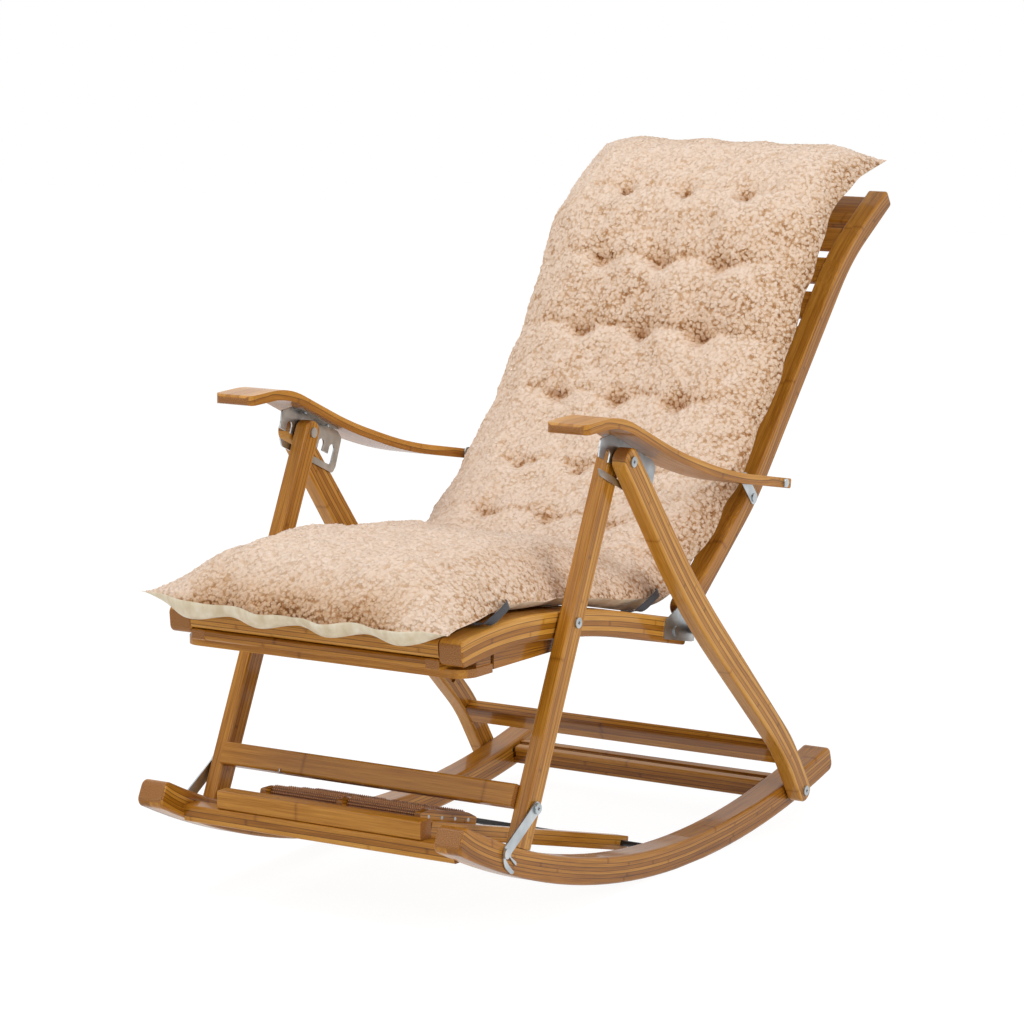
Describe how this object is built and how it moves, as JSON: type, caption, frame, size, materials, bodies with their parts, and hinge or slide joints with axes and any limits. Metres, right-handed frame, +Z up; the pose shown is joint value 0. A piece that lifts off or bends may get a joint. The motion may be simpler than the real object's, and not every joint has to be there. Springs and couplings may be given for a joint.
{
  "type": "folding rocking chair",
  "caption": "Folding bamboo rocking chair with a reclining back on toothed armrest brackets, a pull-out footrest, a roller foot rest and a tufted pad.",
  "frame": {"origin": "middle of the footprint box at floor level", "axes": "+Z up, the sitter faces -Y, +X to the sitter's left"},
  "size_m": [0.5856, 1.1656, 0.9391],
  "materials": {
    "bamboo": "satin",
    "roller_wood": "satin",
    "zinc_steel": "satin",
    "black_steel": "satin",
    "fleece": "matte"
  },
  "bodies": {
    "rocker_base": {"rocker_right": "bamboo", "rocker_left": "bamboo", "front_cross_rail": "bamboo", "rear_cross_rail": "bamboo", "pedal_rod": "black_steel", "latch_studs": "zinc_steel", "pedal_front_rail": "bamboo", "pedal_sides": "bamboo", "pedal_slats": "bamboo", "roller_plates": "bamboo", "roller_axles": "zinc_steel"},
    "rear_leg_frame": {"rear_leg_right": "bamboo", "rear_leg_left": "bamboo", "rear_leg_crossbar": "bamboo", "stay_rod": "zinc_steel", "rear_pivot_bolts": "zinc_steel", "top_bolts_outer": "zinc_steel"},
    "front_leg_frame": {"front_leg_right": "bamboo", "front_leg_left": "bamboo", "front_leg_crossbar": "bamboo", "top_bolts_inner": "zinc_steel", "latch_pivots": "zinc_steel"},
    "latch_right": {"latch_link_right": "zinc_steel"},
    "latch_left": {"latch_link_left": "zinc_steel"},
    "seat_frame": {"seat_rail_right": "bamboo", "seat_rail_left": "bamboo", "seat_front_rail": "bamboo", "seat_rear_rail": "bamboo", "seat_slats": "bamboo", "seat_board": "bamboo", "footrest_guides": "bamboo", "seat_bolts": "zinc_steel", "pad_seat": "fleece"},
    "footrest": {"footrest_front": "bamboo", "footrest_sides": "bamboo", "footrest_slats": "bamboo"},
    "hook_plates": {"hook_plate_right": "zinc_steel", "hook_plate_left": "zinc_steel", "back_pivot_pins": "zinc_steel"},
    "back_frame": {"back_rail_right": "bamboo", "back_rail_left": "bamboo", "back_top_rail": "bamboo", "back_lower_rail": "bamboo", "back_slats": "bamboo", "arm_link_bolts": "zinc_steel", "pad_back": "fleece"},
    "link_right": {"arm_link_right": "zinc_steel"},
    "link_left": {"arm_link_left": "zinc_steel"},
    "arm_right": {"armrest_right": "bamboo", "arm_bracket_right": "zinc_steel"},
    "arm_left": {"armrest_left": "bamboo", "arm_bracket_left": "zinc_steel"},
    "roller_right_1": {"roller_right_1": "roller_wood"},
    "roller_right_2": {"roller_right_2": "roller_wood"},
    "roller_right_3": {"roller_right_3": "roller_wood"},
    "roller_right_4": {"roller_right_4": "roller_wood"},
    "roller_left_1": {"roller_left_1": "roller_wood"},
    "roller_left_2": {"roller_left_2": "roller_wood"},
    "roller_left_3": {"roller_left_3": "roller_wood"},
    "roller_left_4": {"roller_left_4": "roller_wood"}
  },
  "joints": [
    {"name": "rear_leg_hinge", "type": "hinge", "parent": "rocker_base", "child": "rear_leg_frame", "pos_m": [0, 0.25486, 0.05059], "axis": [1, 0, 0], "range_deg": [-13.1, 0]},
    {"name": "fold", "type": "hinge", "parent": "rear_leg_frame", "child": "front_leg_frame", "pos_m": [0, -0.21614, 0.57252], "axis": [1, 0, 0], "range_deg": [0, 62]},
    {"name": "latch_swing_right", "type": "hinge", "parent": "front_leg_frame", "child": "latch_right", "pos_m": [0.25, -0.40851, 0.15468], "axis": [-1, 0, 0], "range_deg": [0, 70]},
    {"name": "latch_swing_left", "type": "hinge", "parent": "front_leg_frame", "child": "latch_left", "pos_m": [-0.25, -0.40851, 0.15468], "axis": [-1, 0, 0], "range_deg": [0, 70]},
    {"name": "seat_hinge", "type": "hinge", "parent": "front_leg_frame", "child": "seat_frame", "pos_m": [0, -0.30689, 0.37541], "axis": [1, 0, 0], "range_deg": [0, 46.6]},
    {"name": "footrest_slide", "type": "slide", "parent": "seat_frame", "child": "footrest", "axis": [0, 1, 0], "range_m": [-0.19, 0]},
    {"name": "back_fold", "type": "hinge", "parent": "seat_frame", "child": "hook_plates", "pos_m": [0, -0.0244, 0.31737], "axis": [1, 0, 0], "range_deg": [-47.9, 0]},
    {"name": "recline", "type": "hinge", "parent": "hook_plates", "child": "back_frame", "pos_m": [0, 0.02386, 0.34652], "axis": [1, 0, 0], "range_deg": [-15, 24]},
    {"name": "arm_fold_right", "type": "hinge", "parent": "back_frame", "child": "link_right", "pos_m": [0.25, 0.18392, 0.47018], "axis": [1, 0, 0], "range_deg": [0, 30]},
    {"name": "arm_fold_left", "type": "hinge", "parent": "back_frame", "child": "link_left", "pos_m": [-0.25, 0.18392, 0.47018], "axis": [1, 0, 0], "range_deg": [0, 30]},
    {"name": "arm_swing_right", "type": "hinge", "parent": "link_right", "child": "arm_right", "pos_m": [0.25, 0.15812, 0.49901], "axis": [1, 0, 0], "range_deg": [-20.7, 13]},
    {"name": "arm_swing_left", "type": "hinge", "parent": "link_left", "child": "arm_left", "pos_m": [-0.25, 0.15812, 0.49901], "axis": [1, 0, 0], "range_deg": [-20.7, 13]},
    {"name": "roller_right_1_spin", "type": "hinge", "parent": "rocker_base", "child": "roller_right_1", "pos_m": [0.06, -0.46285, 0.13844], "axis": [1, 0, 0], "continuous": true},
    {"name": "roller_right_2_spin", "type": "hinge", "parent": "rocker_base", "child": "roller_right_2", "pos_m": [0.06, -0.43273, 0.13109], "axis": [1, 0, 0], "continuous": true},
    {"name": "roller_right_3_spin", "type": "hinge", "parent": "rocker_base", "child": "roller_right_3", "pos_m": [0.06, -0.40262, 0.12373], "axis": [1, 0, 0], "continuous": true},
    {"name": "roller_right_4_spin", "type": "hinge", "parent": "rocker_base", "child": "roller_right_4", "pos_m": [0.06, -0.3725, 0.11638], "axis": [1, 0, 0], "continuous": true},
    {"name": "roller_left_1_spin", "type": "hinge", "parent": "rocker_base", "child": "roller_left_1", "pos_m": [-0.06, -0.46285, 0.13844], "axis": [1, 0, 0], "continuous": true},
    {"name": "roller_left_2_spin", "type": "hinge", "parent": "rocker_base", "child": "roller_left_2", "pos_m": [-0.06, -0.43273, 0.13109], "axis": [1, 0, 0], "continuous": true},
    {"name": "roller_left_3_spin", "type": "hinge", "parent": "rocker_base", "child": "roller_left_3", "pos_m": [-0.06, -0.40262, 0.12373], "axis": [1, 0, 0], "continuous": true},
    {"name": "roller_left_4_spin", "type": "hinge", "parent": "rocker_base", "child": "roller_left_4", "pos_m": [-0.06, -0.3725, 0.11638], "axis": [1, 0, 0], "continuous": true}
  ],
  "couplings": [
    {"joint": "rear_leg_hinge", "follows": "fold", "ratio": -0.21},
    {"joint": "seat_hinge", "follows": "fold", "ratio": 0.75},
    {"joint": "back_fold", "follows": "fold", "ratio": -0.77},
    {"joint": "arm_fold_right", "follows": "fold", "ratio": 0.48},
    {"joint": "arm_fold_left", "follows": "fold", "ratio": 0.48},
    {"joint": "arm_swing_right", "follows": "recline", "ratio": -0.86},
    {"joint": "arm_swing_left", "follows": "recline", "ratio": -0.86}
  ]
}
